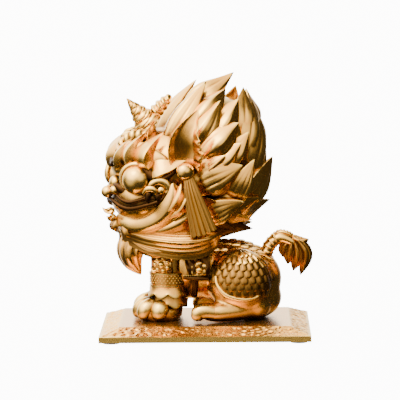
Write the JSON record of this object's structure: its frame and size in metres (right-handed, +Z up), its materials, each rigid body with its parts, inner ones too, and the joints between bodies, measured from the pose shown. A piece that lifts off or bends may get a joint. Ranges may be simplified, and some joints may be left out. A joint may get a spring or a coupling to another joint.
{
  "type": "lion statue",
  "caption": "Gilt cast lion with a flame mane, spiral horn and scaled haunches, sitting on a bevelled hammered plate with rubber pads.",
  "frame": {"origin": "on the table surface, under the middle of the base plate", "axes": "+Z up, X along the plate with the lion facing -X, +Y towards the lion's right side"},
  "size_m": [0.1432, 0.115, 0.175],
  "materials": {
    "gilt_casting": "satin gold with darker recesses",
    "gilt_plate": "satin gold, smooth on top and hammered on the slopes",
    "pad_rubber": "matt"
  },
  "bodies": {
    "root": {"lion": "gilt_casting", "base_plate": "gilt_plate", "rubber_pad_front_left": "pad_rubber", "rubber_pad_front_right": "pad_rubber", "rubber_pad_back_left": "pad_rubber", "rubber_pad_back_right": "pad_rubber"}
  },
  "joints": []
}
